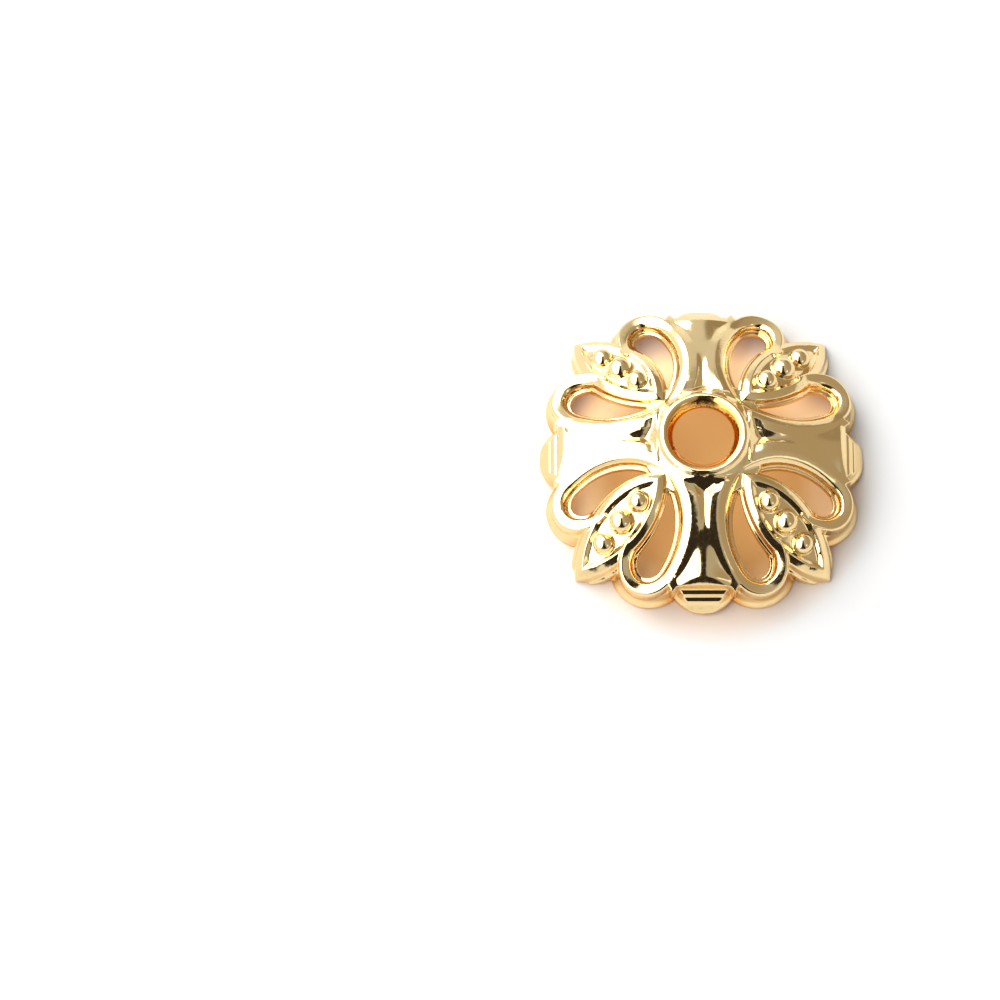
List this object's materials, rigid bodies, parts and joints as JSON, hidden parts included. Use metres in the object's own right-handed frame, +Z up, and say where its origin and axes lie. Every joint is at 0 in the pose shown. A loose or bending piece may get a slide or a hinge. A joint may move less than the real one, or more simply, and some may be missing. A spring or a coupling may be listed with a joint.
{
  "type": "bead cap",
  "caption": "Round domed jewellery finding that caps a bead: pierced petals, beaded leaves, a ringed centre hole and a scalloped foot.",
  "frame": {"origin": "centre of the cap's foot, on the surface that the cap stands on", "axes": "+Z up along the centre hole, towards the top of the dome; X and Y each run through two opposite tongues of the foot, and the leaves lie on the diagonals"},
  "size_m": [0.012, 0.012, 0.003],
  "materials": {
    "gold_plate": "cast metal, tumbled bright and plated in pale gold"
  },
  "bodies": {
    "root": {"bead_cap": "gold_plate"}
  },
  "joints": []
}
